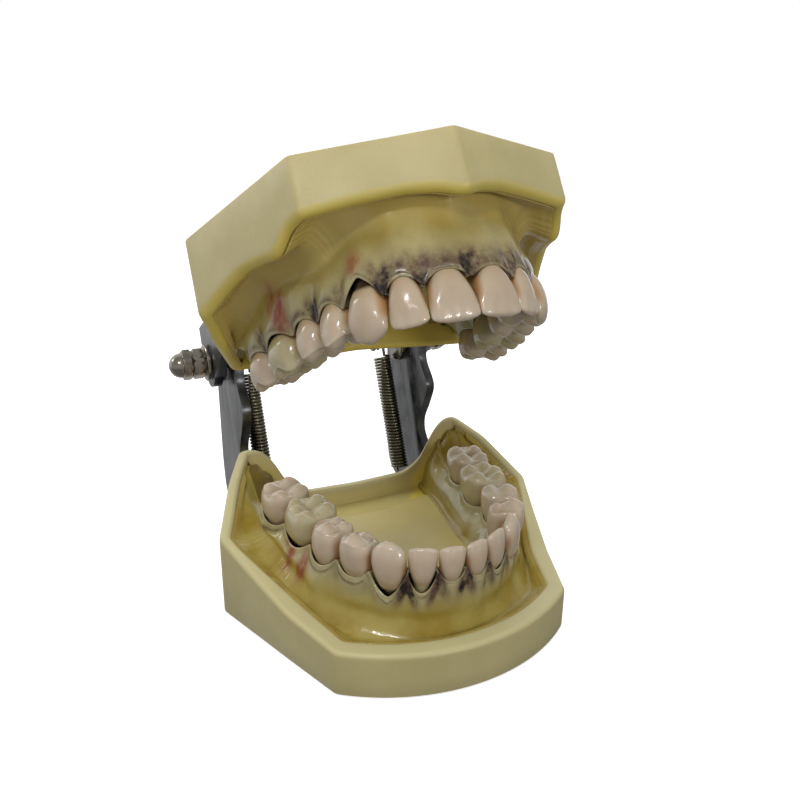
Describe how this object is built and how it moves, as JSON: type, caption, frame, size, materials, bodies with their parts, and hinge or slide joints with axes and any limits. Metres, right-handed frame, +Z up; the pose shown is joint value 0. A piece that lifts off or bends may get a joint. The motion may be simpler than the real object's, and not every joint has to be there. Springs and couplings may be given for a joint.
{
  "type": "typodont",
  "caption": "Dental training model: full upper and lower jaws with separate teeth and gum masks over bone, hinged wide open on a spring articulator.",
  "frame": {"origin": "centre of the lower base's underside, on the midline", "axes": "+Z up, the front teeth face -Y, +X is the model's left; stored with the jaws wide open"},
  "size_m": [0.079, 0.0964, 0.1027],
  "materials": {
    "ivory_resin": "satin moulded ivory resin",
    "gum_resin": "glossy translucent amber and grey resin with dark and red painted patches",
    "pink_enamel": "glossy pinkish beige resin",
    "cream_enamel": "glossy translucent cream resin",
    "bracket_steel": "polished sheet steel",
    "bright_steel": "bright plated",
    "spring_wire": "dark drawn spring wire"
  },
  "bodies": {
    "lower_jaw": {"lower_base": "ivory_resin", "lower_gum_mask": "gum_resin", "lower_right_central_incisor": "pink_enamel", "lower_right_lateral_incisor": "pink_enamel", "lower_right_canine": "pink_enamel", "lower_right_first_premolar": "pink_enamel", "lower_right_second_premolar": "pink_enamel", "lower_right_first_molar": "cream_enamel", "lower_right_second_molar": "pink_enamel", "lower_left_central_incisor": "pink_enamel", "lower_left_lateral_incisor": "pink_enamel", "lower_left_canine": "pink_enamel", "lower_left_first_premolar": "pink_enamel", "lower_left_second_premolar": "pink_enamel", "lower_left_first_molar": "cream_enamel", "lower_left_second_molar": "pink_enamel", "lower_bracket": "bracket_steel", "lower_spring_stud_right": "bright_steel", "spring_right": "spring_wire", "lower_bracket_screw_right": "bright_steel", "friction_washer_right": "bright_steel", "lower_spring_stud_left": "bright_steel", "spring_left": "spring_wire", "lower_bracket_screw_left": "bright_steel", "friction_washer_left": "bright_steel"},
    "upper_jaw": {"upper_base": "ivory_resin", "upper_gum_mask": "gum_resin", "upper_right_central_incisor": "pink_enamel", "upper_right_lateral_incisor": "pink_enamel", "upper_right_canine": "pink_enamel", "upper_right_first_premolar": "pink_enamel", "upper_right_second_premolar": "pink_enamel", "upper_right_first_molar": "cream_enamel", "upper_right_second_molar": "pink_enamel", "upper_left_central_incisor": "pink_enamel", "upper_left_lateral_incisor": "pink_enamel", "upper_left_canine": "pink_enamel", "upper_left_first_premolar": "pink_enamel", "upper_left_second_premolar": "pink_enamel", "upper_left_first_molar": "cream_enamel", "upper_left_second_molar": "pink_enamel", "upper_bracket": "bracket_steel", "upper_bracket_screw_right": "bright_steel", "hinge_bolt_right": "bright_steel", "outer_washer_right": "bright_steel", "lock_nut_right": "bright_steel", "acorn_nut_right": "bright_steel", "upper_bracket_screw_left": "bright_steel", "hinge_bolt_left": "bright_steel", "outer_washer_left": "bright_steel", "lock_nut_left": "bright_steel", "acorn_nut_left": "bright_steel"}
  },
  "joints": [
    {"name": "jaw_hinge", "type": "hinge", "parent": "lower_jaw", "child": "upper_jaw", "pos_m": [0, 0.057, 0.0448], "axis": [-1, 0, 0], "range_deg": [-30.5, 20], "deforming": ["spring_right", "spring_left"]}
  ]
}
